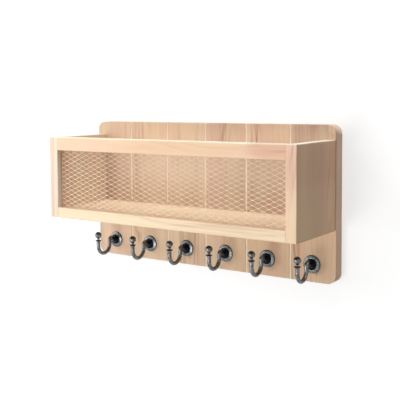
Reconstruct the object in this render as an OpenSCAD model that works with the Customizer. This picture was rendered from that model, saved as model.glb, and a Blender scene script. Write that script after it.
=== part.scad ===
// Wall shelf with an open-topped box, an expanded metal front and a row of key hooks.
// X runs left to right, Y runs into the wall and Z runs up.
// The origin is the centre of the back board's rear face.

/* [Back board] */
// Width of the board
board_w = 330; // [300:1:420]
// Height of the board
board_h = 170; // [165:1:240]
// Thickness of the board
board_t = 15; // [13:0.5:22]
// Radius of the board's corners
board_corner_r = 10; // [2:0.5:18]
// Distance between neighbouring grooves in the face
groove_pitch = 55.5; // [40:0.5:70]
// Number of grooves in the face
groove_count = 5; // [1:1:5]
// Width of a groove
groove_w = 2.4; // [1:0.1:4]
// Depth of a groove
groove_d = 0.8; // [0.4:0.1:3]

/* [Keyholes] */
// Distance between the two keyholes
keyhole_spacing = 250; // [100:1:270]
// Depth of the entry holes' centres below the board's top edge
keyhole_drop = 30; // [20:1:60]
// Radius of an entry hole
keyhole_entry_r = 5; // [4:0.25:7]
// Width of the slot that rises from it
keyhole_slot_w = 5; // [4:0.25:6]
// Rise of the slot's seat above the entry hole's centre
keyhole_rise = 10; // [6:0.5:12]
// Thickness of the lip that a screw head hooks behind
keyhole_lip = 3; // [2:0.25:5]
// Depth of the pocket from the rear face
keyhole_depth = 8; // [6:0.5:10]

/* [Box] */
// Distance from each end of the board to the box
box_reveal = 1; // [0:0.5:20]
// Depth of the box in front of the board
box_d = 89; // [70:1:130]
// Height of the box
box_h = 96; // [60:1:105]
// Height of the box above the board's lower edge
box_lift = 58; // [50:1:60]
// Thickness of a side panel
side_t = 12; // [9:0.5:18]
// Thickness of the floor, which is also its height in the front
floor_t = 12; // [9:0.5:18]
// Height of the top rail
rail_h = 15.5; // [13.5:0.5:25]
// Thickness of the top rail, front to back
rail_t = 12; // [10:0.5:18]

/* [Mesh] */
// Distance from the front face to the mesh's groove
mesh_setback = 6; // [3:0.25:8]
// Thickness of the mesh
mesh_t = 0.9; // [0.5:0.1:1.5]
// Distance between neighbouring openings along the mesh
mesh_long = 30.2; // [24:0.1:40]
// Distance between neighbouring openings up the mesh
mesh_short = 13.4; // [11:0.1:18]
// Width of a strand
strand_w = 1.6; // [0.8:0.05:2.2]
// Length of a bond, where an upper and a lower strand join
bond_len = 4; // [3:0.1:6]
// Depth of the groove that holds the mesh's edges
mesh_groove_d = 3; // [2:0.25:4]
// Clearance round the mesh in its groove, on each side
mesh_clear = 0.15; // [0.05:0.05:0.3]

/* [Joinery] */
// Radius of a dowel
dowel_r = 3; // [2:0.25:3.5]
// Length of a dowel inside the floor or the rail
dowel_reach = 9; // [6:0.5:15]
// Wood between a dowel's hole and the side panel's outer face
dowel_cover = 2.5; // [2:0.25:4]
// Distance of the floor's dowels from its front and rear edges
dowel_inset = 22; // [16:1:30]
// Glue gap round a dowel
dowel_gap = 0.1; // [0.05:0.05:0.2]
// Radius of a screw's shank
screw_r = 1.75; // [1.25:0.25:2.5]
// Length of a screw
screw_len = 34; // [30:1:45]
// Radius of a screw's countersunk head
screw_head_r = 3.5; // [3:0.25:4.5]
// Height of the head's cone
screw_head_h = 2; // [1.5:0.25:3]
// Distance of the side panels' screws from their upper and lower edges
side_screw_inset = 20; // [15:1:28]
// Distance between the floor's screws
floor_screw_pitch = 90; // [50:1:120]
// Number of screws into the floor
floor_screw_count = 3; // [1:1:3]
// Gap round a screw in its hole
screw_gap = 0.1; // [0.05:0.05:0.2]

/* [Hooks] */
// Distance between neighbouring hooks
hook_pitch = 55; // [40:0.5:58]
// Height of the hooks' axes above the board's lower edge
hook_lift = 19.5; // [16:0.5:30]
// Radius of a rosette
rosette_r = 9.75; // [8:0.25:12]
// Thickness of a rosette at its rim
rosette_rim_t = 1.4; // [1:0.1:2]
// Radius of the ring that is turned into a rosette's face
rosette_ring_r = 6.6; // [5.8:0.1:7]
// Height of the rosette's cone above its rim
rosette_cone_h = 0.9; // [0.5:0.1:1.5]
// Radius of a rosette's central boss
boss_r = 4.4; // [4:0.1:5]
// Height of the boss above the board's face
boss_h = 3.6; // [3:0.1:5]
// Radius of the hook's rod
rod_r = 2.3; // [1.75:0.05:2.5]
// Radius of the neck where it leaves the boss
neck_r = 3.2; // [2.8:0.1:3.4]
// Angle at which the neck rises
neck_rise = 28; // [10:1:30]
// Bend radius of the elbow, at the rod's centre
elbow_bend_r = 2.8; // [2.75:0.05:4]
// How much thicker the elbow is than the rod, on each side
elbow_swell = 0.15; // [0.1:0.05:0.25]
// Distance of the rear leg from the board's face
rear_leg_out = 13.5; // [13:0.25:18]
// Distance of the front leg from the board's face
front_leg_out = 34.8; // [32:0.2:44]
// Depth of the hook's bend centre below the hook's axis
bend_drop = 3.5; // [1:0.1:6]
// Height of the collar above the hook's axis
collar_rise = 2.8; // [1:0.1:6]
// Radius of the collar
collar_r = 3.7; // [2.8:0.1:4]
// Thickness of the collar
collar_t = 1.1; // [0.8:0.1:2]
// Radius of the waist under the ball
waist_r = 1.5; // [1:0.1:2]
// Height of the waist, from the collar to the ball's centre
waist_h = 6.3; // [5:0.1:7]
// Radius to which the waist flares where it meets the collar and the ball
flare_r = 2.2; // [1.8:0.1:2.6]
// Height of each flare
flare_h = 0.6; // [0.3:0.1:1]
// Radius of the ball
ball_r = 4.1; // [3:0.1:4.5]
// Radius of the hook's threaded tail
tail_r = 1.5; // [1:0.1:2]
// Length of the tail inside the board
tail_len = 9; // [6:0.5:11]
// Gap round the tail in its holes
tail_gap = 0.1; // [0.05:0.05:0.2]

/* [Hidden] */
$fn = 48;

// Number of hooks, one for each pair of hook nodes
hook_count = 6;
// How far a cutting solid runs past a face that it opens
cut = 1;
// Space left beyond the end of a dowel, screw or tail in a blind hole
end_gap = 0.5;
// Share of a screw's length that is its point
point_share = 0.15;
// Radius of the point's end, as a share of the shank's radius
tip_share = 0.25;
// Height of the straight rim on a screw's head, as a share of its cone's height
head_rim_share = 0.25;
// How far the neck and the rear leg run on into the thicker elbow, and the waist into the ball
end_overlap = 0.3;
// How far the neck's cone starts clear of the boss, and how far the dome stands round that start
neck_margin = 0.1;

// Front face of the board and front face of the box
board_face_y = -board_t;
box_face_y = board_face_y - box_d;
// Lower and upper edges of the board and of the box
board_z0 = -board_h / 2;
board_z1 = board_h / 2;
box_z0 = board_z0 + box_lift;
box_z1 = box_z0 + box_h;
// Half the width of the box outside and between its sides
box_half_w = board_w / 2 - box_reveal;
inner_half_w = box_half_w - side_t;
// The window between the floor and the top rail
window_z0 = box_z0 + floor_t;
window_z1 = box_z1 - rail_h;
// The mesh's groove, front to back, and the mesh within it
mesh_groove_y0 = box_face_y + mesh_setback;
mesh_groove_w = mesh_t + 2 * mesh_clear;
mesh_tongue = mesh_groove_d - mesh_clear;
mesh_y0 = mesh_groove_y0 + mesh_clear;
// Hook axes
hook_z = board_z0 + hook_lift;
// Screws and dowels
side_screw_x = box_half_w - side_t / 2;
side_screw_z = [box_z0 + side_screw_inset, box_z1 - side_screw_inset];
floor_mid_z = box_z0 + floor_t / 2;
rail_mid_z = box_z1 - rail_h / 2;
floor_dowel_y = [box_face_y + dowel_inset, board_face_y - dowel_inset];
rail_dowel_y = box_face_y + rail_t / 2;

function hook_x(i) = (i - (hook_count + 1) / 2) * hook_pitch;
function spread(count, pitch) = [for (i = [0 : count - 1]) (i - (count - 1) / 2) * pitch];

// Turns a part made along +Z so that it points out of the board's face, along -Y
module facing_out() {
    rotate([90, 0, 0]) children();
}

// Turns a part made along +Z so that it points into the wall, along +Y
module facing_in() {
    rotate([-90, 0, 0]) children();
}

// A block given by its lowest corner and its highest corner
module block(low, high) {
    translate(low) cube(high - low);
}

// Outline of a rectangle with round corners, about the origin
module rounded_outline(w, h, r) {
    square([w - 2 * r, h], center = true);
    square([w, h - 2 * r], center = true);
    for (x = [-1, 1], z = [-1, 1]) {
        translate([x * (w / 2 - r), z * (h / 2 - r)]) circle(r);
    }
}

// Holes

// Outline of a slot of half width r that rises from the origin to the given height
module slot_outline(r, rise) {
    circle(r);
    translate([-r, 0]) square([2 * r, rise]);
    translate([0, rise]) circle(r);
}

// Keyhole pocket, entered from the rear face
module keyhole() {
    facing_out() {
        translate([0, 0, -cut]) linear_extrude(keyhole_depth + cut) circle(keyhole_entry_r);
        translate([0, 0, -cut]) linear_extrude(keyhole_lip + 2 * cut) {
            slot_outline(keyhole_slot_w / 2, keyhole_rise);
        }
        translate([0, 0, keyhole_lip]) linear_extrude(keyhole_depth - keyhole_lip) {
            slot_outline(keyhole_entry_r, keyhole_rise);
        }
    }
}

// Screw, its head flush with the rear face and its point towards the front
module screw(gap = 0) {
    point = (screw_len - screw_head_h) * point_share;
    rim = screw_head_h * head_rim_share;
    facing_out() {
        translate([0, 0, gap > 0 ? -cut : 0]) {
            cylinder(h = rim + (gap > 0 ? cut : 0), r = screw_head_r + gap);
        }
        translate([0, 0, rim]) {
            cylinder(h = screw_head_h, r1 = screw_head_r + gap, r2 = screw_r + gap);
        }
        cylinder(h = screw_len - point, r = screw_r + gap);
        translate([0, 0, screw_len - point]) {
            if (gap > 0) cylinder(h = point + end_gap, r = screw_r + gap);
            else cylinder(h = point, r1 = screw_r, r2 = screw_r * tip_share);
        }
    }
}

// Places of the screws that hold the side panels and the floor to the board
module at_box_screws() {
    for (x = [-side_screw_x, side_screw_x], z = side_screw_z) translate([x, 0, z]) children();
    for (x = spread(floor_screw_count, floor_screw_pitch)) translate([x, 0, floor_mid_z]) children();
}

// Places of the dowels between a side panel's inner face and the floor and rail, on one side
module at_dowels(side) {
    for (y = floor_dowel_y) translate([side * inner_half_w, y, floor_mid_z]) children();
    translate([side * inner_half_w, rail_dowel_y, rail_mid_z]) children();
}

// Dowel across a joint at the origin, from inside the floor or rail to inside the side panel
module dowel(side, gap = 0) {
    spare = gap > 0 ? end_gap : 0;
    in_side = side_t - dowel_cover - end_gap + spare;
    translate([-side * (dowel_reach + spare), 0, 0]) rotate([0, side * 90, 0]) {
        cylinder(h = dowel_reach + spare + in_side, r = dowel_r + gap);
    }
}

// Groove that takes the mesh's edges, all round the window
module mesh_groove() {
    block([-inner_half_w - mesh_groove_d, mesh_groove_y0, window_z0 - mesh_groove_d],
        [inner_half_w + mesh_groove_d, mesh_groove_y0 + mesh_groove_w, window_z1 + mesh_groove_d]);
}

// Boards

module back_board() {
    color("burlywood") difference() {
        facing_out() linear_extrude(board_t) rounded_outline(board_w, board_h, board_corner_r);
        for (x = spread(groove_count, groove_pitch)) {
            block([x - groove_w / 2, board_face_y - cut, board_z0 - cut],
                [x + groove_w / 2, board_face_y + groove_d, board_z1 + cut]);
        }
        for (x = [-1, 1]) translate([x * keyhole_spacing / 2, 0, board_z1 - keyhole_drop]) keyhole();
        for (i = [1 : hook_count]) {
            translate([hook_x(i), board_face_y, hook_z]) facing_in() {
                translate([0, 0, -cut]) cylinder(h = tail_len + end_gap + cut, r = tail_r + tail_gap);
            }
        }
        at_box_screws() screw(screw_gap);
    }
}

module side_panel(side) {
    difference() {
        block([min(side * inner_half_w, side * box_half_w), box_face_y, box_z0],
            [max(side * inner_half_w, side * box_half_w), board_face_y, box_z1]);
        mesh_groove();
        at_dowels(side) dowel(side, dowel_gap);
        at_box_screws() screw(screw_gap);
    }
}

module left_side_panel() {
    color("navajowhite") side_panel(-1);
}

module right_side_panel() {
    color("navajowhite") side_panel(1);
}

module floor_panel() {
    color("wheat") difference() {
        block([-inner_half_w, box_face_y, box_z0], [inner_half_w, board_face_y, window_z0]);
        mesh_groove();
        for (side = [-1, 1]) at_dowels(side) dowel(side, dowel_gap);
        at_box_screws() screw(screw_gap);
    }
}

module top_rail() {
    color("moccasin") difference() {
        block([-inner_half_w, box_face_y, window_z1], [inner_half_w, box_face_y + rail_t, box_z1]);
        mesh_groove();
        for (side = [-1, 1]) at_dowels(side) dowel(side, dowel_gap);
    }
}

// Mesh

// An opening is a flattened hexagon. Its long half ends where the bond beside it starts, and
// a bond is two strands high.
hole_half_long = (mesh_long - bond_len) / 2;
hole_half_short = mesh_short / 2 - strand_w;
// Run of the opening's slanted edge along the mesh, at which the strand beside it has its width
slant_lever = (mesh_long / 2 - bond_len) * hole_half_short;
slant_square = pow(mesh_short / 2, 2) - pow(strand_w, 2);
slant_root = sqrt(pow(slant_lever, 2) + pow(hole_half_short, 2) * slant_square);
slant_run = (mesh_short / 2 * slant_lever + strand_w * slant_root) / slant_square;
// Half the length of the opening's flat upper and lower edges
hole_flat = hole_half_long - slant_run;
// Rows and columns of openings on each side of the window's centre
mesh_cols = ceil(inner_half_w / mesh_long);
mesh_rows = ceil((window_z1 - window_z0) / 2 / mesh_short);

// One opening
module opening() {
    polygon([[-hole_half_long, 0], [-hole_flat, -hole_half_short], [hole_flat, -hole_half_short],
        [hole_half_long, 0], [hole_flat, hole_half_short], [-hole_flat, hole_half_short]]);
}

// All the openings, every second row set half a step along, clipped to the window so that the
// edges in the groove stay solid
module openings() {
    intersection() {
        square([2 * inner_half_w, window_z1 - window_z0], center = true);
        union() {
            for (i = [-mesh_cols : mesh_cols], j = [-mesh_rows : mesh_rows]) {
                translate([i * mesh_long, j * mesh_short]) opening();
            }
            for (i = [-mesh_cols : mesh_cols - 1], j = [-mesh_rows : mesh_rows - 1]) {
                translate([(i + 0.5) * mesh_long, (j + 0.5) * mesh_short]) opening();
            }
        }
    }
}

module mesh_panel() {
    color("seashell") translate([0, mesh_y0 + mesh_t, (window_z0 + window_z1) / 2]) {
        facing_out() linear_extrude(mesh_t) difference() {
            square([2 * inner_half_w, window_z1 - window_z0] + 2 * mesh_tongue * [1, 1], center = true);
            openings();
        }
    }
}

// Fasteners

module corner_dowels() {
    color("tan") for (side = [-1, 1]) at_dowels(side) dowel(side);
}

module box_screws() {
    color("silver") at_box_screws() screw();
}

// Hooks, made at the origin with +Z pointing out of the board's face and +Y up

// Turned rosette: rim, shallow cone, ring and boss, bored for the tail
module hook_rosette(i) {
    cone_top = rosette_rim_t + rosette_cone_h;
    ring_w = (rosette_ring_r - boss_r) / 2;
    color("dimgray") translate([hook_x(i), board_face_y, hook_z]) facing_out() rotate_extrude() {
        polygon([[tail_r + tail_gap, 0], [rosette_r, 0], [rosette_r, rosette_rim_t],
            [rosette_ring_r, cone_top], [rosette_ring_r - ring_w / 2, cone_top - ring_w / 2],
            [boss_r, cone_top - ring_w / 2], [boss_r, boss_h], [tail_r + tail_gap, boss_h]]);
    }
}

// Length of the neck's axis, from the boss to where the elbow turns down into the rear leg
neck_len = (rear_leg_out - boss_h - elbow_bend_r * (1 + sin(neck_rise))) / cos(neck_rise);
// Height of the elbow's bend centre above the hook's axis
elbow_y = neck_len * sin(neck_rise) - elbow_bend_r * cos(neck_rise);
// Start of the neck's cone along its axis, clear of the boss
neck_start = neck_r * tan(neck_rise) + neck_margin;
// Radius of the dome that the cone grows out of
dome_r = norm([neck_start, neck_r]) + neck_margin;
elbow_r = rod_r + elbow_swell;
hook_bend_r = (front_leg_out - rear_leg_out) / 2;

// Round rod bent through an angle about the X axis, from the leg at +Z round towards +Y
module bent_rod(bend_r, angle, r) {
    rotate([0, -90, 0]) rotate_extrude(angle = angle) translate([bend_r, 0]) circle(r);
}

module upright_rod(out, low, high, r) {
    translate([0, low, out]) rotate([-90, 0, 0]) cylinder(h = high - low, r = r);
}

// Dome on the boss's face, from which the neck rises
module dome() {
    rotate_extrude() intersection() {
        circle(dome_r);
        square(dome_r);
    }
}

// Turned end of the front leg, on its axis: collar, waist flared at both ends, and ball
module finial() {
    collar_top = collar_rise + collar_t;
    ball_z = collar_top + waist_h;
    // Where the upper flare reaches the ball's surface
    seat_z = ball_z - sqrt(pow(ball_r, 2) - pow(flare_r, 2));
    rotate_extrude() {
        polygon([[0, collar_rise], [collar_r, collar_rise], [collar_r, collar_top], [flare_r, collar_top],
            [waist_r, collar_top + flare_h], [waist_r, seat_z - flare_h], [flare_r, seat_z + end_overlap],
            [0, seat_z + end_overlap]]);
    }
    translate([0, 0, ball_z]) sphere(ball_r);
}

// Threaded tail, dome, rising neck, elbow, rear leg, bend, front leg and finial
module hook_arm(i) {
    color("slategray") translate([hook_x(i), board_face_y, hook_z]) facing_out() {
        translate([0, 0, -tail_len]) cylinder(h = tail_len + boss_h + dome_r / 2, r = tail_r);
        translate([0, 0, boss_h]) dome();
        translate([0, 0, boss_h]) rotate([-neck_rise, 0, 0]) translate([0, 0, neck_start]) {
            cylinder(h = neck_len - neck_start + end_overlap, r1 = neck_r, r2 = rod_r);
        }
        translate([0, elbow_y, rear_leg_out - elbow_bend_r]) bent_rod(elbow_bend_r, 90 + neck_rise, elbow_r);
        upright_rod(rear_leg_out, -bend_drop, elbow_y + end_overlap, rod_r);
        translate([0, -bend_drop, rear_leg_out + hook_bend_r]) mirror([0, 1, 0]) {
            bent_rod(hook_bend_r, 180, rod_r);
        }
        upright_rod(front_leg_out, -bend_drop, collar_rise + collar_t / 2, rod_r);
        translate([0, 0, front_leg_out]) rotate([-90, 0, 0]) finial();
    }
}

back_board();
left_side_panel();
right_side_panel();
floor_panel();
top_rail();
mesh_panel();
corner_dowels();
box_screws();
hook_rosette(1);  // hook_rosette_1
hook_rosette(2);  // hook_rosette_2
hook_rosette(3);  // hook_rosette_3
hook_rosette(4);  // hook_rosette_4
hook_rosette(5);  // hook_rosette_5
hook_rosette(6);  // hook_rosette_6
hook_arm(1);  // hook_arm_1
hook_arm(2);  // hook_arm_2
hook_arm(3);  // hook_arm_3
hook_arm(4);  // hook_arm_4
hook_arm(5);  // hook_arm_5
hook_arm(6);  // hook_arm_6
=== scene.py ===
"""Looks of the wall key holder shelf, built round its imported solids.

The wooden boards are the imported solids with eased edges. The mesh, the hooks, their rosettes
and the screws are modelled here in finer detail, each in the place of its solid.
Sizes written as N * MM are in millimetres, lists named _MM are too, and everything else is in
metres, in the shelf's own frame: X to the right, Y into the wall, Z up, with the origin at the
centre of the board's rear face.
"""

import math

import bmesh
import bpy
from mathutils import Matrix, Vector


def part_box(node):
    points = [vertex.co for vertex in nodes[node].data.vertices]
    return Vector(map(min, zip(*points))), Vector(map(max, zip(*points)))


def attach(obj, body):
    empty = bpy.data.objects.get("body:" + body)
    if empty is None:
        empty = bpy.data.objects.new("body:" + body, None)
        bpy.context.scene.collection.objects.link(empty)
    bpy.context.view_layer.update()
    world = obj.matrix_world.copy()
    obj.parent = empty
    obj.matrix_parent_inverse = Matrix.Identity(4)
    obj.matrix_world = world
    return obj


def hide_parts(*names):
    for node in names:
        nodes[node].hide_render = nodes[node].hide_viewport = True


MM = 0.001

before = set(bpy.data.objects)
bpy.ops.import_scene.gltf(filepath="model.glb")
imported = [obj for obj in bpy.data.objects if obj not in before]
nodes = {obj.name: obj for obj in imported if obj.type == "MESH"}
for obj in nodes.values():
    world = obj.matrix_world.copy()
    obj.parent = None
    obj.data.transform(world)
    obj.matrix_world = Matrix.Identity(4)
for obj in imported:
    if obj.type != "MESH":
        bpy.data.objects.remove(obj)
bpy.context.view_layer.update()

# Places and sizes read from the frame

BOARD_LOW, BOARD_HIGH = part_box("back_board")
BOARD_FACE_Y = BOARD_LOW.y
SIDE_LOW, SIDE_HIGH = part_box("right_side_panel")
FLOOR_LOW, FLOOR_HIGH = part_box("floor_panel")
RAIL_LOW, RAIL_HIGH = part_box("top_rail")
MESH_LOW, MESH_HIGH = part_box("mesh_panel")
HOOK_COUNT = 6


def hook_axis(number):
    """X and Z of the axis of one hook, at the middle of its rosette."""
    low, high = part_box(f"hook_rosette_{number}")
    return (low.x + high.x) / 2, (low.z + high.z) / 2


HOOK_PITCH = hook_axis(2)[0] - hook_axis(1)[0]
HOOK_Z = hook_axis(1)[1]

# Material graphs

X_AXIS, Y_AXIS, Z_AXIS = range(3)
# Height that a bump from 0 to 1 stands for
BUMP_DEPTH = 0.05 * MM


class Graph:
    """A material's or the world's node tree, with short calls to add nodes and links."""

    def __init__(self, owner):
        owner.use_nodes = True
        self.tree = owner.node_tree
        self.tree.nodes.clear()

    def add(self, kind, inputs=None, **settings):
        node = self.tree.nodes.new(kind)
        for key, value in settings.items():
            setattr(node, key, value)
        for key, value in (inputs or {}).items():
            socket = node.inputs[key]
            if isinstance(value, bpy.types.NodeSocket):
                self.tree.links.new(value, socket)
            else:
                socket.default_value = value
        return node

    def math(self, operation, a, b=0.0, clamp=False):
        node = self.add("ShaderNodeMath", {0: a, 1: b}, operation=operation, use_clamp=clamp)
        return node.outputs[0]

    def vector(self, x, y, z):
        return self.add("ShaderNodeCombineXYZ", {0: x, 1: y, 2: z}).outputs[0]

    def object_point(self):
        """The place on the object as one vector."""
        return self.add("ShaderNodeTexCoord").outputs["Object"]

    def position(self):
        """The place on the object as its three coordinates."""
        return self.add("ShaderNodeSeparateXYZ", {0: self.object_point()}).outputs

    def noise(self, where, scale=1.0, detail=2.0, rough=0.5):
        inputs = {"Vector": where, "Scale": scale, "Detail": detail, "Roughness": rough}
        return self.add("ShaderNodeTexNoise", inputs).outputs["Fac"]

    def ramp(self, value, low, high, start=0.0, end=1.0):
        """value taken from the range low..high to start..end, smoothly, and held beyond it."""
        inputs = {"Value": value, 1: low, 2: high, 3: start, 4: end}
        return self.add("ShaderNodeMapRange", inputs, interpolation_type="SMOOTHSTEP").outputs[0]

    def blend(self, factor, a, b, mode="MIX"):
        node = self.add("ShaderNodeMix", data_type="RGBA", blend_type=mode)
        for index, value in ((0, factor), (6, a), (7, b)):
            if isinstance(value, bpy.types.NodeSocket):
                self.tree.links.new(value, node.inputs[index])
            else:
                node.inputs[index].default_value = value
        return node.outputs[2]

    def shade(self, colour, factor):
        """The colour with all three channels times the factor."""
        return self.blend(1.0, colour, self.vector(factor, factor, factor), "MULTIPLY")

    def bump(self, height, strength, inputs=None):
        inputs = {"Height": height, "Strength": strength, "Distance": BUMP_DEPTH, **(inputs or {})}
        return self.add("ShaderNodeBump", inputs).outputs[0]

    def principled(self, inputs):
        """A Principled surface as the material's output."""
        self.output(self.add("ShaderNodeBsdfPrincipled", inputs).outputs[0])

    def output(self, surface, kind="ShaderNodeOutputMaterial"):
        self.add(kind, {"Surface": surface})


def srgb(red, green, blue):
    """A colour given as it looks on screen, 0 to 255, as the linear colour that Blender takes."""
    def linear(value):
        value /= 255
        return value / 12.92 if value <= 0.04045 else ((value + 0.055) / 1.055) ** 2.4
    return (linear(red), linear(green), linear(blue), 1.0)


# How far inside a face its own tone still reaches
SKIN = 0.3 * MM
# How far below the board's face the tones of the face reach
FACE_DEPTH = 2 * MM
# Height over which the painted shade inside the box fades out below the top of the box
INSIDE_SHADE_FADE = 14 * MM
# Painted shade on the faces inside the box: darker and greyer than the wood outside
INSIDE_SHADE_TINT = (0.87, 0.88, 0.9, 1.0)


def inside_box(graph):
    """1 on the faces round the inside of the box, where shade is painted, and 0 elsewhere.

    It fades out towards the top of the box.
    """
    x, y, z = graph.position()
    within = graph.math("LESS_THAN", graph.math("ABSOLUTE", x), FLOOR_HIGH.x + SKIN)
    behind = graph.math("GREATER_THAN", y, RAIL_LOW.y + SKIN)
    ahead = graph.math("LESS_THAN", y, BOARD_FACE_Y + FACE_DEPTH)
    above = graph.math("GREATER_THAN", z, FLOOR_HIGH.z - SKIN)
    below = graph.ramp(z, RAIL_HIGH.z - INSIDE_SHADE_FADE, RAIL_HIGH.z - SKIN, 1.0, 0.0)
    share = within
    for limit in (behind, ahead, above, below):
        share = graph.math("MULTIPLY", share, limit)
    return share


# Fading of a patch over the square of the distance from its centre, in half sizes, as a ramp
PATCH_EDGE = (0.15, 1.3, 1.0, 0.0)


def tone_patches(graph, colour, patches):
    """Soft-edged patches of another tone.

    Each is (axis, centre, half size, other axis, centre, half size, tint), in metres.
    """
    split = graph.position()
    for axis, centre, half, other, other_centre, other_half, tint in patches:
        u = graph.math("DIVIDE", graph.math("SUBTRACT", split[axis], centre), half)
        v = graph.math("DIVIDE", graph.math("SUBTRACT", split[other], other_centre), other_half)
        square = graph.math("ADD", graph.math("MULTIPLY", u, u), graph.math("MULTIPLY", v, v))
        tinted = graph.blend(1.0, colour, tint + (1.0,), "MULTIPLY")
        colour = graph.blend(graph.ramp(square, *PATCH_EDGE), colour, tinted)
    return colour


def tone_faces(graph, colour, faces):
    """Another tone on the faces that lie beyond a limit: (axis, side, limit, tint), in metres."""
    split = graph.position()
    for axis, side, limit, tint in faces:
        beyond = graph.math("GREATER_THAN", graph.math("MULTIPLY", split[axis], side), limit)
        colour = graph.blend(beyond, colour, graph.blend(1.0, colour, tint + (1.0,), "MULTIPLY"))
    return colour


# Noise fields of the wood, as (scale across the grain, scale along it, detail, roughness, offset)
BANDS = (38, 5.0, 2.0, 0.5, 3.1)
RINGS = (26, 3.0, 1.0, 0.5, 23.9)
CLUSTERS = (55, 3.0, 1.0, 0.5, 31.3)
STREAKS = (330, 9.0, 3.0, 0.6, 11.7)
FIBRES = (1300, 45.0, 3.0, 0.7, 5.3)
# Ramps from these fields to tones, as (low, high, start, end)
BAND_MIX = (0.38, 0.62, 0.0, 1.0)
RING_RISE = (0.4, 0.88, 0.0, 0.45)
RING_DROP = (0.88, 1.0, 1.0, 0.0)
STREAK_TONE = (0.5, 0.72, 0.0, 0.75)
CLUSTER_SHARE = (0.46, 0.66, 0.12, 1.0)
FIBRE_TONE = (0.3, 0.7, 0.972, 1.024)
FIBRE_ROUGHNESS = (0.3, 0.7, 0.42, 0.54)
# Growth lines in the whole range of the rings' field
RING_COUNT = 12.0
# Share of the grain's contrast that the wood inside the box loses
INSIDE_CALM = 0.55
# Shift of the fields from one strip of the board to the next
STRIP_SHIFT = 0.37
# How deep the grain lines lie, as a share of the fibres' height
GRAIN_SINK = 0.35
WOOD_BUMP = 0.3
WOOD_SPECULAR = 0.22
BEVEL_SAMPLES = 4
# Radius of the round that edges are shaded with. The board's is small, because its grooves are narrow
EDGE_ROUND = 1.2 * MM
BOARD_EDGE_ROUND = 0.4 * MM

GROOVE_PITCH = 55.5 * MM
GROOVE_W = 2.4 * MM
# Depth at which the cut wood starts, and how far its colour reaches past the groove's sides
CUT_START = 0.15 * MM
CUT_MARGIN = 0.05 * MM
# Colour of the cut wood in the grooves: the lighter tone of fresh cut wood, and painted light against the
# grooves' shade
LIT_CUT_WOOD = srgb(255, 240, 217)


def noise_field(graph, axes, drift, scale_across, scale_along, detail, rough, offset):
    """Noise that is stretched along the grain."""
    across, depth, length = axes
    shift = graph.math("ADD", drift, offset)
    where = graph.vector(
        graph.math("ADD", graph.math("MULTIPLY", across, scale_across), shift),
        graph.math("MULTIPLY", depth, scale_across),
        graph.math("ADD", graph.math("MULTIPLY", length, scale_along), shift),
    )
    return graph.noise(where, detail=detail, rough=rough)


def grain_tone(graph, rings, streaks, clusters, contrast, inside):
    """How strongly the grain's lines show: growth lines and streaks, gathered in clusters."""
    ring_lines = graph.math("FRACT", graph.math("MULTIPLY", rings, RING_COUNT))
    rise, drop = graph.ramp(ring_lines, *RING_RISE), graph.ramp(ring_lines, *RING_DROP)
    ring_tone = graph.math("MULTIPLY", rise, drop)
    streak_tone = graph.ramp(streaks, *STREAK_TONE)
    lines = graph.math("ADD", ring_tone, streak_tone)
    tone = graph.math("MULTIPLY", lines, graph.ramp(clusters, *CLUSTER_SHARE))
    calmed = graph.math("MULTIPLY", inside, contrast * INSIDE_CALM)
    return graph.math("MULTIPLY", tone, graph.math("SUBTRACT", contrast, calmed), clamp=True)


def groove_mask(graph, strips, depth):
    """1 on the cut wood in the board's grooves, which lie where strips is a whole number."""
    from_groove = graph.math("ABSOLUTE", graph.math("SUBTRACT", strips, graph.math("ROUND", strips)))
    in_width = graph.math("LESS_THAN", from_groove, (GROOVE_W / 2 + CUT_MARGIN) / GROOVE_PITCH)
    below_face = graph.math("GREATER_THAN", depth, BOARD_FACE_Y + CUT_START)
    in_front = graph.math("LESS_THAN", depth, BOARD_FACE_Y + FACE_DEPTH)
    return graph.math("MULTIPLY", graph.math("MULTIPLY", in_width, below_face), in_front)


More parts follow.
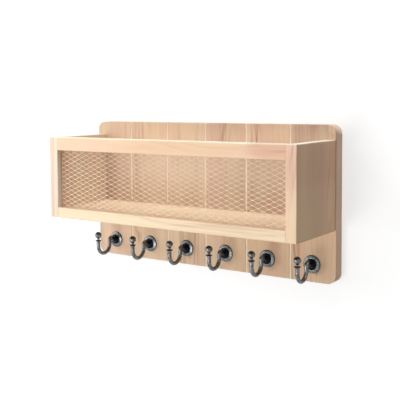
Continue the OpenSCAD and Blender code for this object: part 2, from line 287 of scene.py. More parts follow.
def wood(name, along, palette, seed, contrast=1.0, grooved=False, patches=(), faces=(),
         edge_round=EDGE_ROUND):
    """Planed softwood. Broad bands of tone, growth lines, streaks and fibres run along one axis.

    palette is (ground, second ground, grain lines). A grooved board gets grain of its own in each
    strip between two grooves. patches and faces are other tones, as tone_patches and tone_faces
    take them. edge_round is the radius of the round that the edges are shaded with.
    """
    ground, second_ground, line = palette
    material = bpy.data.materials.new(name)
    graph = Graph(material)
    x, y, z = graph.position()
    axes = {"X": (z, y, x), "Z": (x, y, z)}[along]
    drift = seed
    if grooved:
        strips = graph.math("DIVIDE", x, GROOVE_PITCH)
        drift = graph.math("ADD", graph.math("MULTIPLY", graph.math("FLOOR", strips), STRIP_SHIFT), seed)
    fields = (BANDS, RINGS, CLUSTERS, STREAKS, FIBRES)
    bands, rings, clusters, streaks, fibres = [noise_field(graph, axes, drift, *field) for field in fields]

    inside = inside_box(graph)
    tone = grain_tone(graph, rings, streaks, clusters, contrast, inside)
    colour = graph.blend(graph.ramp(bands, *BAND_MIX), ground, second_ground)
    colour = tone_patches(graph, colour, patches)
    colour = graph.blend(tone, colour, graph.blend(1.0, colour, line, "MULTIPLY"))
    colour = graph.shade(colour, graph.ramp(fibres, *FIBRE_TONE))
    # Painted shade on the faces inside the box
    colour = graph.blend(inside, colour, graph.blend(1.0, colour, INSIDE_SHADE_TINT, "MULTIPLY"))
    # Pale cut wood in the grooves, partly painted light against their shade
    if grooved:
        colour = graph.blend(groove_mask(graph, strips, y), colour, LIT_CUT_WOOD)
    colour = tone_faces(graph, colour, faces)

    height = graph.math("SUBTRACT", fibres, graph.math("MULTIPLY", tone, GRAIN_SINK))
    eased = graph.add("ShaderNodeBevel", {"Radius": edge_round}, samples=BEVEL_SAMPLES).outputs[0]
    graph.principled({
        "Base Color": colour,
        "Roughness": graph.ramp(fibres, *FIBRE_ROUGHNESS),
        "Normal": graph.bump(height, WOOD_BUMP, {"Normal": eased}),
        "Specular IOR Level": WOOD_SPECULAR,
    })
    return material


# Scale of the paint's mottle, and ramps from it, as (low, high, start, end)
PAINT_SCALE = 260.0
PAINT_TONE = (0.3, 0.7, 0.93, 1.04)
PAINT_ROUGHNESS = (0.3, 0.7, 0.34, 0.46)


def painted_metal(name, colour):
    """Thin satin paint on steel, with a faint unevenness."""
    material = bpy.data.materials.new(name)
    graph = Graph(material)
    mottle = graph.noise(graph.object_point(), scale=PAINT_SCALE, detail=3.0)
    graph.principled({
        "Base Color": graph.shade(colour, graph.ramp(mottle, *PAINT_TONE)),
        "Roughness": graph.ramp(mottle, *PAINT_ROUGHNESS),
    })
    return material


# Painted shade on the hooks, and their darker collar. Radii and heights are from the hook's axis, and out
# is from the board's face
HOLLOW_R, HOLLOW_FADE_R = 5.2 * MM, 6.6 * MM
HOLLOW_OUT, HOLLOW_FADE_OUT = 8 * MM, 12.5 * MM
COLLAR_RISE = 3.35 * MM
COLLAR_HALF_H = 0.65 * MM
FRONT_LEG_OUT = 29 * MM
CROWN_RISE, CROWN_FULL_RISE, CROWN_SHARE = 10.5 * MM, 13.5 * MM, 0.75
RIM_R, RIM_FULL_R, RIM_SHARE = 9 * MM, 9.6 * MM, 0.85
RIM_OUT = 2.5 * MM


def painted_shade_and_collar(graph):
    """1 where shade is painted on a hook or its collar is darker, and 0 elsewhere.

    The shade is painted in the hollow of each rosette and at its hook's neck, and more faintly on the
    ball's crown and the rosette's rim. The collar is darker too.
    """
    x, y, z = graph.position()
    cell = graph.math("FRACT", graph.math("DIVIDE", x, HOOK_PITCH))
    side = graph.math("MULTIPLY", graph.math("SUBTRACT", cell, 0.5), HOOK_PITCH)
    up = graph.math("SUBTRACT", z, HOOK_Z)
    square = graph.math("ADD", graph.math("MULTIPLY", side, side), graph.math("MULTIPLY", up, up))

    within = graph.ramp(square, HOLLOW_R ** 2, HOLLOW_FADE_R ** 2, 1.0, 0.0)
    near = graph.ramp(y, BOARD_FACE_Y - HOLLOW_FADE_OUT, BOARD_FACE_Y - HOLLOW_OUT)
    hollow = graph.math("MULTIPLY", within, near)
    from_collar = graph.math("ABSOLUTE", graph.math("SUBTRACT", up, COLLAR_RISE))
    level = graph.math("LESS_THAN", from_collar, COLLAR_HALF_H)
    ahead = graph.math("LESS_THAN", y, BOARD_FACE_Y - FRONT_LEG_OUT)
    collar = graph.math("MULTIPLY", level, ahead)
    high = graph.ramp(up, CROWN_RISE, CROWN_FULL_RISE, 0.0, CROWN_SHARE)
    crown = graph.math("MULTIPLY", high, ahead)
    outer = graph.ramp(square, RIM_R ** 2, RIM_FULL_R ** 2, 0.0, RIM_SHARE)
    rim = graph.math("MULTIPLY", outer, graph.math("GREATER_THAN", y, BOARD_FACE_Y - RIM_OUT))
    share = hollow
    for part in (collar, crown, rim):
        share = graph.math("MAXIMUM", share, part)
    return share


# Ramp from the plating's mottle to its lighter tone, and the mottle's range for its roughness
PLATING_MIX = (0.35, 0.68, 0.0, 1.0)
MOTTLE_RANGE = (0.3, 0.7)
PLATING_BUMP = 0.25


def plated_metal(name, dark, light, roughness, scale, shade_and_collar_colour=None):
    """Plated casting, mottled between a dark and a rubbed, lighter tone.

    roughness is its value in the dark and in the light mottle. shade_and_collar_colour is the colour
    of the shade painted on the hooks and of their collar.
    """
    material = bpy.data.materials.new(name)
    graph = Graph(material)
    mottle = graph.noise(graph.object_point(), scale=scale, detail=4.0, rough=0.6)
    colour = graph.blend(graph.ramp(mottle, *PLATING_MIX), dark, light)
    # Painted shade on the hooks' hollows, necks, rims and ball crowns, and their darker collar
    if shade_and_collar_colour:
        colour = graph.blend(painted_shade_and_collar(graph), colour, shade_and_collar_colour)
    graph.principled({
        "Base Color": colour,
        "Roughness": graph.ramp(mottle, *MOTTLE_RANGE, *roughness),
        "Normal": graph.bump(mottle, PLATING_BUMP),
        "Metallic": 1.0,
    })
    return material


GRAIN_TINT = srgb(196, 178, 160)
PALE_GRAIN_TINT = srgb(222, 210, 198)
BOARD_PALETTE = (srgb(236, 207, 175), srgb(233, 198, 171), GRAIN_TINT)
RAIL_PALETTE = (srgb(251, 223, 188), srgb(249, 214, 183), PALE_GRAIN_TINT)
FLOOR_PALETTE = (srgb(252, 233, 199), srgb(252, 227, 193), PALE_GRAIN_TINT)
SIDE_PALETTE = (srgb(247, 215, 182), srgb(246, 209, 183), GRAIN_TINT)
DOWEL_PALETTE = (srgb(226, 196, 156), srgb(218, 182, 140), GRAIN_TINT)
# Painted shade on the outer faces of the side panels: darker and warmer
OUTER_SHADE_TINT = (0.79, 0.75, 0.655)
# Painted highlight on the top faces of the side panels and the rail, and on their eased upper edges: paler,
# near white
TOP_HIGHLIGHT_TINT = (1.01, 1.26, 1.46)
# Patches of other tones, as tone_patches takes them
BOARD_PATCHES = [
    # Painted shade: the upper right of the board darker, where its light falls off
    (X_AXIS, 0.138, 0.03, Z_AXIS, 0.073, 0.05, (0.78, 0.79, 0.83)),
    (X_AXIS, 0.03, 0.03, Z_AXIS, 0.08, 0.035, (0.92, 0.91, 0.92)),
    (X_AXIS, -0.08, 0.06, Z_AXIS, 0.09, 0.04, (1.05, 1.04, 1.03)),
    (X_AXIS, -0.075, 0.035, Z_AXIS, 0.02, 0.05, (1.04, 1.05, 1.06)),
    # Painted shade: the back board inside the box darker at the right, behind the mesh
    (X_AXIS, 0.1, 0.09, Z_AXIS, 0.02, 0.05, (0.84, 0.83, 0.82)),
    (X_AXIS, -0.06, 0.05, Z_AXIS, 0.02, 0.04, (1.06, 1.06, 1.07)),
    # Painted shade: the board below the box darker towards the right
    (X_AXIS, 0.12, 0.12, Z_AXIS, -0.07, 0.05, (0.96, 0.91, 0.86)),
    # Painted shadow of the left side panel on the board inside the box
    (X_AXIS, -0.149, 0.017, Z_AXIS, 0.018, 0.05, (0.87, 0.88, 0.83)),
    # Painted shade: a darker strip along the lower left edge of the board
    (X_AXIS, -0.168, 0.012, Z_AXIS, -0.065, 0.06, (0.82, 0.84, 0.85)),
    # Painted light: the board below the box lighter at the left and middle, against the box's shadow
    (X_AXIS, -0.06, 0.11, Z_AXIS, -0.06, 0.026, (1.03, 1.04, 1.02)),
    # Painted highlight on the rounded upper right corner of the board
    (X_AXIS, 0.162, 0.007, Z_AXIS, 0.082, 0.007, (1.18, 1.14, 1.2)),
]
RAIL_PATCHES = [
    (X_AXIS, 0.14, 0.035, Z_AXIS, 0.062, 0.012, (0.9, 0.78, 0.78)),
    (X_AXIS, 0.02, 0.09, Z_AXIS, 0.062, 0.009, (0.98, 0.95, 0.9)),
]
SIDE_PATCHES = [
    (X_AXIS, 0.158, 0.02, Z_AXIS, 0.045, 0.024, (0.95, 0.89, 0.9)),
    (X_AXIS, 0.158, 0.02, Z_AXIS, -0.02, 0.03, (1.03, 1.05, 1.02)),
    # Painted light: the rear of the right panel's outer face lighter
    (X_AXIS, 0.164, 0.006, Y_AXIS, -0.014, 0.034, (1.13, 1.06, 1.08)),
    (X_AXIS, -0.152, 0.006, Y_AXIS, -0.05, 0.045, (0.93, 0.99, 0.99)),
    (X_AXIS, -0.152, 0.006, Y_AXIS, -0.104, 0.009, (1.03, 1.18, 1.28)),
    (X_AXIS, -0.16, 0.011, Y_AXIS, -0.104, 0.009, (0.96, 1.03, 1.1)),
    (X_AXIS, 0.164, 0.006, Y_AXIS, -0.058, 0.026, (0.94, 0.92, 0.89)),
]
# Height of the eased upper edge, which gets the top face's painted highlight
TOP_EDGE = 0.8 * MM
# Faces of other tones, as tone_faces takes them
# Painted shade on the board's right side face: slightly darker and pinker
BOARD_FACES = [(X_AXIS, 1, BOARD_HIGH.x - SKIN, (0.99, 0.92, 0.96))]
SIDE_FACES = [
    # Painted shade on the side panels' outer faces
    (X_AXIS, 1, SIDE_HIGH.x - SKIN, OUTER_SHADE_TINT),
    (X_AXIS, -1, SIDE_HIGH.x - SKIN, OUTER_SHADE_TINT),
    # Painted highlight on the side panels' top faces
    (Z_AXIS, 1, SIDE_HIGH.z - TOP_EDGE, TOP_HIGHLIGHT_TINT),
]
# Painted highlight on the rail's top face
RAIL_FACES = [(Z_AXIS, 1, RAIL_HIGH.z - TOP_EDGE, TOP_HIGHLIGHT_TINT)]
FLOOR_FACES = [(Z_AXIS, 1, FLOOR_HIGH.z - SKIN, (0.96, 0.89, 0.87))]

board_wood = wood("board_wood", "Z", BOARD_PALETTE, 1.7, contrast=1.1, grooved=True,
                  patches=BOARD_PATCHES, faces=BOARD_FACES, edge_round=BOARD_EDGE_ROUND)
rail_wood = wood("rail_wood", "X", RAIL_PALETTE, 4.3, contrast=0.6, patches=RAIL_PATCHES, faces=RAIL_FACES)
floor_wood = wood("floor_wood", "X", FLOOR_PALETTE, 9.9, contrast=0.6, faces=FLOOR_FACES)
side_wood = wood("side_wood", "Z", SIDE_PALETTE, 6.1, contrast=0.75, patches=SIDE_PATCHES, faces=SIDE_FACES)
dowel_wood = wood("dowel_wood", "X", DOWEL_PALETTE, 2.2)
mesh_paint = painted_metal("mesh_paint", srgb(242, 222, 198))
# The hooks carry painted shade in their hollows, at their necks, rims and ball crowns
hook_metal = plated_metal("hook_metal", srgb(86, 87, 88), srgb(133, 134, 134), roughness=(0.24, 0.34),
                          scale=420.0, shade_and_collar_colour=srgb(37, 38, 43))
screw_metal = plated_metal("screw_metal", srgb(170, 172, 176), srgb(205, 206, 208),
                           roughness=(0.25, 0.4), scale=600.0)

# Helpers for meshes


def add_piece(name, mesh, material, replaced, smooth_angle):
    """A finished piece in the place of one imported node, riding on the shelf's one body.

    Edges that turn less than smooth_angle, in degrees, are shaded smooth.
    """
    piece = bpy.data.objects.new(name, mesh)
    bpy.context.scene.collection.objects.link(piece)
    mesh.materials.append(material)
    mesh.shade_smooth()
    mesh.set_sharp_from_angle(angle=math.radians(smooth_angle))
    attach(piece, "root")
    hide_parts(replaced)


# Points closer than this are one point
WELD_DIST = 0.001 * MM
# Points of a packed board closer than this are one point, so that its faces meet
BOARD_WELD_DIST = 0.005 * MM
# Faces of a board that turn less than this lie in one plane
FLAT_ANGLE = math.radians(0.5)
# Edges that turn more than this are rounded
ROUNDED_ANGLE = math.radians(35)
ROUND_SEGMENTS = 3


def set_material(node, material):
    nodes[node].data.materials.clear()
    nodes[node].data.materials.append(material)


def ease_edges(node, material, width):
    """Gives a packed board its material and a small round on its sharp edges."""
    set_material(node, material)
    board = nodes[node]
    weld = board.modifiers.new("weld", "WELD")
    weld.merge_threshold = BOARD_WELD_DIST
    flat = board.modifiers.new("flat", "DECIMATE")
    flat.decimate_type = "DISSOLVE"
    flat.angle_limit = FLAT_ANGLE
    bevel = board.modifiers.new("bevel", "BEVEL")
    bevel.width = width
    bevel.segments = ROUND_SEGMENTS
    bevel.limit_method = "ANGLE"
    bevel.angle_limit = ROUNDED_ANGLE
    bevel.use_clamp_overlap = True
    bevel.harden_normals = True


def skin_rings(bm, rings, closed=False):
    """Faces between rings of points, one after another.

    The first and the last ring are joined to each other where closed is true, and capped where not.
    """
    levels = [[bm.verts.new(point) for point in ring] for ring in rings]
    for lower, upper in zip(levels, levels[1:] + (levels[:1] if closed else [])):
        count = len(lower)
        for i in range(count):
            j = (i + 1) % count
            bm.faces.new((lower[i], lower[j], upper[j], upper[i]))
    if not closed:
        bm.faces.new(levels[0])
        bm.faces.new(levels[-1])


def finish_mesh(name, bm):
    bmesh.ops.recalc_face_normals(bm, faces=bm.faces)
    mesh = bpy.data.meshes.new(name)
    bm.to_mesh(mesh)
    bm.free()
    return mesh


# Boards

BOARD_ROUND = 0.35 * MM
PANEL_ROUND = 0.4 * MM

ease_edges("back_board", board_wood, BOARD_ROUND)
ease_edges("left_side_panel", side_wood, PANEL_ROUND)
ease_edges("right_side_panel", side_wood, PANEL_ROUND)
ease_edges("floor_panel", floor_wood, PANEL_ROUND)
ease_edges("top_rail", rail_wood, PANEL_ROUND)
set_material("corner_dowels", dowel_wood)

# Expanded mesh

# Distance between openings along the mesh and up the mesh
MESH_LONG = 12.4 * MM
MESH_SHORT = 5.3 * MM
STRAND_W = 0.5 * MM
STRAND_T = 0.42 * MM
STRAND_BEVEL = 0.12 * MM
# Length of the bond between two openings in a row
BOND_LEN = 2.6 * MM
# Slope of a strand's face against the sheet, which it loses over the sheet's outermost part
STRAND_LEAN = 0.8
MESH_FLAT_EDGE = 3.0 * MM
SLANT_STEPS = 3


def opening_quarter():
    """Points of a quarter of an opening's edge, from its right tip to the middle of its top."""
    half_long = (MESH_LONG - BOND_LEN) / 2
    half_short = MESH_SHORT / 2 - STRAND_W
    lever = (MESH_LONG / 2 - BOND_LEN) * half_short
    square = (MESH_SHORT / 2) ** 2 - STRAND_W ** 2
    root = math.sqrt(lever ** 2 + half_short ** 2 * square)
    flat = half_long - (MESH_SHORT / 2 * lever + STRAND_W * root) / square
    slant = [(half_long + (flat - half_long) * k / SLANT_STEPS, half_short * k / SLANT_STEPS)
             for k in range(SLANT_STEPS)]
    return slant + [(flat, half_short), (0.0, half_short)]


def opening_loop():
    """Pairs of points round an opening: on its edge, and on the middle line of the strand beside it."""
    quarter = opening_quarter()
    last = len(quarter) - 1
    middles = [(MESH_LONG / 2 * (1 - k / last), MESH_SHORT / 2 * k / last) for k in range(last + 1)]
    pairs = list(zip(quarter, middles))
    loop = []
    for side_x, side_z in ((1, 1), (-1, 1), (-1, -1), (1, -1)):
        part = pairs[:-1] if side_x * side_z > 0 else pairs[:0:-1]
        for edge, middle in part:
            loop.append(((side_x * edge[0], side_z * edge[1]), (side_x * middle[0], side_z * middle[1])))
    return loop


def cut_and_cap(bm, limit, outward):
    """Takes off what lies beyond the limit, and closes the cut ends of the strands."""
    everything = bm.verts[:] + bm.edges[:] + bm.faces[:]
    bmesh.ops.bisect_plane(bm, geom=everything, plane_co=limit * outward, plane_no=outward,
                           clear_outer=True)
    bmesh.ops.remove_doubles(bm, verts=bm.verts, dist=WELD_DIST)
    in_cut = {vert for vert in bm.verts if abs(vert.co.dot(outward) - limit) < WELD_DIST}
    rim = [edge for edge in bm.edges if edge.is_boundary and in_cut.issuperset(edge.verts)]
    bmesh.ops.holes_fill(bm, edges=rim, sides=0)


def lean_at(x, z):
    """Slope of the strand at a place in the sheet, which is flat outside the window."""
    centre_z = (FLOOR_HIGH.z + RAIL_LOW.z) / 2
    half_h = (RAIL_LOW.z - FLOOR_HIGH.z) / 2
    inside = min(FLOOR_HIGH.x - abs(x), half_h - abs(z - centre_z))
    return STRAND_LEAN * min(max(inside / MESH_FLAT_EDGE, 0.0), 1.0)


def add_mesh_tile(bm, x0, z0, loop):
    """The strands' halves round one opening, from the sheet's front round to its rear.

    A share of 0 is on the opening's edge, and a share of 1 on the strand's middle line.
    """
    centre_y = (MESH_LOW.y + MESH_HIGH.y) / 2
    half = STRAND_T / 2
    inset = STRAND_BEVEL / (STRAND_W / 2)
    profile = [(1.0, -half), (inset, -half), (0.0, STRAND_BEVEL - half),
               (0.0, half - STRAND_BEVEL), (inset, half), (1.0, half)]
    levels = []
    for share, depth in profile:
        level = []
        for edge, middle in loop:
            u = edge[0] + (middle[0] - edge[0]) * share
            v = edge[1] + (middle[1] - edge[1]) * share
            x, z = x0 + u, z0 + v
            level.append(bm.verts.new((x, centre_y + depth + lean_at(x, z) * (v - middle[1]), z)))
        levels.append(level)
    for lower, upper in zip(levels, levels[1:]):
        for k in range(len(loop)):
            m = (k + 1) % len(loop)
            bm.faces.new((lower[k], upper[k], upper[m], lower[m]))


def expanded_mesh():
    """The sheet: one tile round each opening, welded to its neighbours and cut to the panel."""
    loop = opening_loop()
    centre_z = (FLOOR_HIGH.z + RAIL_LOW.z) / 2
    bm = bmesh.new()
    columns = math.ceil(MESH_HIGH.x / MESH_LONG) + 1
    rows = math.ceil((MESH_HIGH.z - MESH_LOW.z) / 2 / MESH_SHORT) + 1
    for i in range(-2 * columns, 2 * columns + 1):
        for j in range(-2 * rows, 2 * rows + 1):
            if (i + j) % 2 == 0:
                add_mesh_tile(bm, i * MESH_LONG / 2, centre_z + j * MESH_SHORT / 2, loop)
    bmesh.ops.remove_doubles(bm, verts=bm.verts, dist=WELD_DIST)
    for limit, outward in ((-MESH_LOW.x, (-1, 0, 0)), (MESH_HIGH.x, (1, 0, 0)),
                           (-MESH_LOW.z, (0, 0, -1)), (MESH_HIGH.z, (0, 0, 1))):
        cut_and_cap(bm, limit, Vector(outward))
    return finish_mesh("expanded_mesh", bm)


add_piece("expanded_mesh", expanded_mesh(), mesh_paint, "mesh_panel", 50.0)

# Hooks, in a hook's own frame: out from the board's face, and up from the hook's axis

RING_POINTS = 32
ROD_R = 2.3 * MM
NECK_R = 3.2 * MM
# Share of the neck over which it tapers to the rod, and over which it turns up to its rise
NECK_TAPER = 0.8
NECK_TURN = 0.5
NECK_STEPS = 8
BOSS_H = 3.6 * MM
# How deep the neck's end sits in the rosette's boss, and the step from there down to the tail
NECK_SEAT = 0.3 * MM
NECK_SHOULDER = 0.1 * MM
NECK_RISE = math.radians(28)
ELBOW_R = 2.8 * MM
ELBOW_STEPS = 10
REAR_OUT = 13.5 * MM
FRONT_OUT = 34.8 * MM
BEND_DROP = 3.5 * MM
BEND_STEPS = 28
TAIL_R = 1.5 * MM
TAIL_LEN = 9 * MM
TAIL_CHAMFER = 0.3 * MM
# Turned end of the front leg, as (height above the hook's axis, radius): collar, then waist
FINIAL_MM = [(2.3, 2.3), (2.7, 2.45), (2.8, 3.3), (2.95, 3.58), (3.35, 3.7), (3.75, 3.58), (3.9, 3.3),
             (3.98, 2.3), (4.25, 1.85), (4.7, 1.55), (5.4, 1.5), (5.9, 1.6), (6.3, 1.85), (6.6, 2.1)]
BALL_R = 4.1 * MM
BALL_RISE = 10.2 * MM
BALL_STEPS = 14
BALL_TIP_R = 0.02 * MM
# Half section of the rosette, as (radius, height above the board's face)
ROSETTE_MM = [(1.6, 0.0), (9.55, 0.0), (9.75, 0.2), (9.75, 1.0), (9.67, 1.25), (9.45, 1.42), (9.1, 1.5),
              (7.0, 2.2), (6.6, 2.3), (6.25, 2.2), (6.0, 1.9), (5.5, 1.3), (5.0, 1.15), (4.55, 1.3),
              (4.4, 1.6), (4.4, 3.2), (4.3, 3.45), (4.05, 3.6), (1.6, 3.6)]


def arc(centre, radius, start, end, steps):
    """Points and directions of travel round an arc, with angles from the outward axis."""
    points = []
    turn = 1 if end > start else -1
    for k in range(steps + 1):
        angle = start + (end - start) * k / steps
        place = (centre[0] + radius * math.cos(angle), centre[1] + radius * math.sin(angle))
        points.append((place, angle + turn * math.pi / 2))
    return points


def neck_stations():
    """From the tail's end to the middle of the elbow's top, as hook_stations gives them."""
    ahead = 0.0
    seat = BOSS_H - NECK_SEAT
    stations = [
        ((-TAIL_LEN, 0), ahead, TAIL_R - TAIL_CHAMFER),
        ((TAIL_CHAMFER - TAIL_LEN, 0), ahead, TAIL_R),
        ((seat - NECK_SHOULDER, 0), ahead, TAIL_R),
        ((seat, 0), ahead, NECK_R),
    ]
    neck_len = (REAR_OUT - BOSS_H - ELBOW_R * (1 + math.sin(NECK_RISE))) / math.cos(NECK_RISE)
    for k in range(1, NECK_STEPS + 1):
        share = k / NECK_STEPS
        along = neck_len * share
        place = (BOSS_H + along * math.cos(NECK_RISE), along * math.sin(NECK_RISE))
        radius = NECK_R + (ROD_R - NECK_R) * min(1.0, share / NECK_TAPER)
        stations.append((place, NECK_RISE * min(1.0, share / NECK_TURN), radius))
    centre = (REAR_OUT - ELBOW_R, neck_len * math.sin(NECK_RISE) - ELBOW_R * math.cos(NECK_RISE))
    for place, heading in arc(centre, ELBOW_R, math.pi / 2 + NECK_RISE, 0.0, ELBOW_STEPS)[1:]:
        stations.append((place, heading, ROD_R))
    return stations


def hook_stations():
    """The arm's middle line as (out, up), direction and radius, from the tail's end to the ball's top."""
    stations = neck_stations()
    bend_r = (FRONT_OUT - REAR_OUT) / 2
    for place, heading in arc((REAR_OUT + bend_r, -BEND_DROP), bend_r, math.pi, 2 * math.pi, BEND_STEPS):
        stations.append((place, heading, ROD_R))
    upward = math.pi / 2
    for rise, radius in FINIAL_MM:
        stations.append(((FRONT_OUT, rise * MM), upward, radius * MM))
    seat_angle = math.asin(FINIAL_MM[-1][1] * MM / BALL_R)
    for k in range(1, BALL_STEPS + 1):
        angle = seat_angle + (math.pi - seat_angle) * k / BALL_STEPS
        place = (FRONT_OUT, BALL_RISE - BALL_R * math.cos(angle))
        stations.append((place, upward, max(BALL_R * math.sin(angle), BALL_TIP_R)))
    return stations


def hook_mesh(name, x, z):
    """Tail, neck, elbow, legs, collar, waist and ball: circles swept along one middle line."""
    rings = []
    for (out, up), heading, radius in hook_stations():
        normal = (-math.sin(heading), math.cos(heading))
        ring = []
        for k in range(RING_POINTS):
            angle = 2 * math.pi * k / RING_POINTS
            side, lift = radius * math.sin(angle), radius * math.cos(angle)
            ring.append((x + side, BOARD_FACE_Y - (out + lift * normal[0]), z + up + lift * normal[1]))
        rings.append(ring)
    bm = bmesh.new()
    skin_rings(bm, rings)
    return finish_mesh(name, bm)


def rosette_mesh(name, x, z):
    """Turned rosette: rounded rim, shallow cone, bead, groove and boss with a bore for the arm."""
    rings = []
    for radius, out in ROSETTE_MM:
        ring = []
        for k in range(2 * RING_POINTS):
            angle = math.pi * k / RING_POINTS
            ring.append((x + radius * MM * math.cos(angle), BOARD_FACE_Y - out * MM,
                         z + radius * MM * math.sin(angle)))
        rings.append(ring)
    bm = bmesh.new()
    skin_rings(bm, rings, closed=True)
    return finish_mesh(name, bm)


for number in range(1, HOOK_COUNT + 1):
    hook_x, hook_z = hook_axis(number)
    add_piece(f"rosette_{number}", rosette_mesh(f"rosette_{number}", hook_x, hook_z), hook_metal,
              f"hook_rosette_{number}", 35.0)
    add_piece(f"hook_{number}", hook_mesh(f"hook_{number}", hook_x, hook_z), hook_metal,
              f"hook_arm_{number}", 50.0)

# Screws, from the board's rear face into the box

SIDE_SCREW_INSET = 20 * MM
FLOOR_SCREW_PITCH = 90 * MM
SCREW_POINTS = 48
# Half section of a screw, as (depth from the rear face, radius), from the head's flat to the point
SCREW_MM = [(0.0, 3.25), (0.08, 3.42), (0.2, 3.5), (0.5, 3.5), (2.3, 1.85), (2.6, 1.75), (29.2, 1.75),
            (33.8, 0.45), (34.0, 0.1)]
RECESS_HALF_LEN = 1.9 * MM
RECESS_HALF_W = 0.42 * MM
RECESS_DEPTH = 1.3 * MM
# Size of the recess at its bottom, as a share of its size at the face
RECESS_TAPER = 0.55


def recess_ring(x, z, y, share):
    """Outline of the driver's cross, as a ring of points at the depth y."""
    ring = []
    for k in range(SCREW_POINTS):
        angle = 2 * math.pi * k / SCREW_POINTS
        from_arm = abs((angle + math.pi / 4) % (math.pi / 2) - math.pi / 4)
        reach = RECESS_HALF_LEN / math.cos(from_arm)
        if from_arm > 0:
            reach = min(reach, RECESS_HALF_W / math.sin(from_arm))
        ring.append((x + share * reach * math.cos(angle), y, z + share * reach * math.sin(angle)))
    return ring


def screws_mesh(places):
    """Countersunk screws with a cross recess, their heads flush with the rear face."""
    bm = bmesh.new()
    for x, z in places:
        rings = [recess_ring(x, z, -RECESS_DEPTH, RECESS_TAPER), recess_ring(x, z, 0.0, 1.0)]
        for depth, radius in SCREW_MM:
            ring = []
            for k in range(SCREW_POINTS):
                angle = 2 * math.pi * k / SCREW_POINTS
                side, lift = radius * MM * math.cos(angle), radius * MM * math.sin(angle)
                ring.append((x + side, -depth * MM, z + lift))
            rings.append(ring)
        skin_rings(bm, rings)
    return finish_mesh("screws", bm)


side_x = (SIDE_LOW.x + SIDE_HIGH.x) / 2
floor_z = (FLOOR_LOW.z + FLOOR_HIGH.z) / 2
screw_places = [(side * side_x, z) for side in (-1, 1)
                for z in (SIDE_LOW.z + SIDE_SCREW_INSET, SIDE_HIGH.z - SIDE_SCREW_INSET)]
screw_places += [(i * FLOOR_SCREW_PITCH, floor_z) for i in (-1, 0, 1)]
add_piece("screws", screws_mesh(screw_places), screw_metal, "box_screws", 35.0)

# Camera, fitted to the photograph's edges and given for a frame of 400 by 400 pixels

FRAME_PX = 400
SENSOR = 36.0
CAMERA_PLACE = Vector((495.1, -758.8, 113.4)) * MM
CAMERA_YAW = math.radians(35.16)
CAMERA_PITCH = math.radians(3.83)
CAMERA_ROLL = math.radians(-0.45)
FOCAL_PX = 764.4
CENTRE_PX = (185.0, 150.0)

camera_data = bpy.data.cameras.new("camera")
camera_data.sensor_width = SENSOR
camera_data.lens = FOCAL_PX / FRAME_PX * SENSOR
camera_data.shift_x = (FRAME_PX / 2 - CENTRE_PX[0]) / FRAME_PX
camera_data.shift_y = (CENTRE_PX[1] - FRAME_PX / 2) / FRAME_PX
camera = bpy.data.objects.new("camera", camera_data)
bpy.context.scene.collection.objects.link(camera)
turn = (Matrix.Rotation(CAMERA_YAW, 4, "Z") @ Matrix.Rotation(math.radians(90) - CAMERA_PITCH, 4, "X")
        @ Matrix.Rotation(CAMERA_ROLL, 4, "Z"))
camera.matrix_world = Matrix.Translation(CAMERA_PLACE) @ turn
bpy.context.scene.camera = camera

# Studio

TARGET = Vector((0.0, -0.05, 0.0))
LAMP_DISTANCE = 1.3
# Lamps as (name, azimuth and elevation in degrees, size in metres, power in watts)
LAMPS = [
    ("front", -11, -16, 0.5, 6.4),
    ("left", -62, 5, 1.0, 7.5),
    ("key", -35, 32, 0.3, 1.6),
    ("top", -10, 78, 0.9, 11.0),
    ("right", 90, 50, 0.7, 3.2),
    ("back", 180, 0, 0.6, 4.0),
]


def area_light(name, azimuth, elevation, size, power):
    """A square soft box aimed at the shelf. Azimuth runs from straight ahead, -Y, towards the right."""
    turned, raised = math.radians(azimuth), math.radians(elevation)
    towards = Vector((math.sin(turned) * math.cos(raised), -math.cos(turned) * math.cos(raised),
                      math.sin(raised)))
    data = bpy.data.lights.new(name, "AREA")
    data.size = size
    data.energy = power
    light = bpy.data.objects.new(name, data)
    bpy.context.scene.collection.objects.link(light)
    light.location = TARGET + LAMP_DISTANCE * towards
    light.rotation_euler = towards.to_track_quat("Z", "Y").to_euler()


for lamp in LAMPS:
    area_light(*lamp)

# Strength of the world's light on the object. The rays that see the studio get a strength of 1
AMBIENT = 0.265

world = bpy.data.worlds.new("studio")
bpy.context.scene.world = world
sky = Graph(world)


def seen_rays(graph):
    """1 on the rays that see a white studio: from the camera, off metal and through glass."""
    rays = graph.add("ShaderNodeLightPath").outputs
    indirect = graph.math("MAXIMUM", rays["Is Glossy Ray"], rays["Is Transmission Ray"])
    return graph.math("MAXIMUM", rays["Is Camera Ray"], indirect)


strength = sky.ramp(seen_rays(sky), 0.0, 1.0, AMBIENT, 1.0)
white = sky.add("ShaderNodeBackground", {"Color": (1.0, 1.0, 1.0, 1.0), "Strength": strength})
sky.output(white.outputs[0], "ShaderNodeOutputWorld")


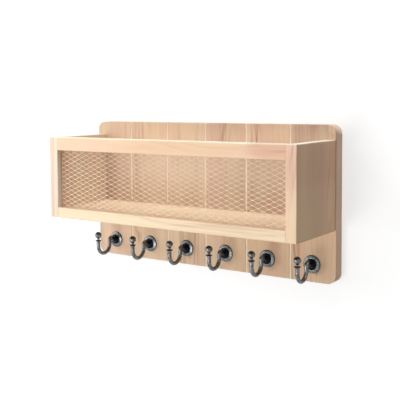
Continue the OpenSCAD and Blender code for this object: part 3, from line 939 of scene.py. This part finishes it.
def stage_plane(name, size, matrix, material):
    mesh = bpy.data.meshes.new(name)
    half = size / 2
    corners = [(-half, -half, 0), (half, -half, 0), (half, half, 0), (-half, half, 0)]
    mesh.from_pydata(corners, [], [(0, 1, 2, 3)])
    plane = bpy.data.objects.new(name, mesh)
    bpy.context.scene.collection.objects.link(plane)
    plane.matrix_world = matrix
    mesh.materials.append(material)
    return plane


def stage_white(name, glow_share, grey, see_through_back):
    """White to the camera where it is fully lit, and a little darker in the object's shadow.

    With see_through_back its rear side is clear, for views from behind it.
    """
    material = bpy.data.materials.new(name)
    graph = Graph(material)
    glow_strength = graph.math("MULTIPLY", seen_rays(graph), glow_share)
    glow = graph.add("ShaderNodeEmission", {"Strength": glow_strength})
    lit = graph.add("ShaderNodeBsdfDiffuse", {"Color": (grey, grey, grey, 1.0)})
    surface = graph.add("ShaderNodeAddShader", {0: glow.outputs[0], 1: lit.outputs[0]}).outputs[0]
    if see_through_back:
        back = graph.add("ShaderNodeNewGeometry").outputs["Backfacing"]
        clear = graph.add("ShaderNodeBsdfTransparent").outputs[0]
        surface = graph.add("ShaderNodeMixShader", {0: back, 1: surface, 2: clear}).outputs[0]
    graph.output(surface)
    return material


STAGE_SIZE = 6.0
WALL_GAP = 0.3 * MM
FLOOR_DROP = 0.6
WALL_GLOW, WALL_GREY = 0.63, 0.5
FLOOR_GLOW, FLOOR_GREY = 0.8, 0.3

# The wall is only looked at: it throws no light back and stops none
upright = Matrix.Translation((0, WALL_GAP, 0)) @ Matrix.Rotation(math.radians(90), 4, "X")
wall = stage_plane("wall", STAGE_SIZE, upright, stage_white("wall_white", WALL_GLOW, WALL_GREY, True))
for ray in ("diffuse", "glossy", "transmission", "shadow", "volume_scatter"):
    setattr(wall, "visible_" + ray, False)
level = Matrix.Translation((0, 0, -FLOOR_DROP))
stage_plane("floor", STAGE_SIZE, level, stage_white("floor_white", FLOOR_GLOW, FLOOR_GREY, False))

bpy.context.scene.view_settings.view_transform = "Standard"
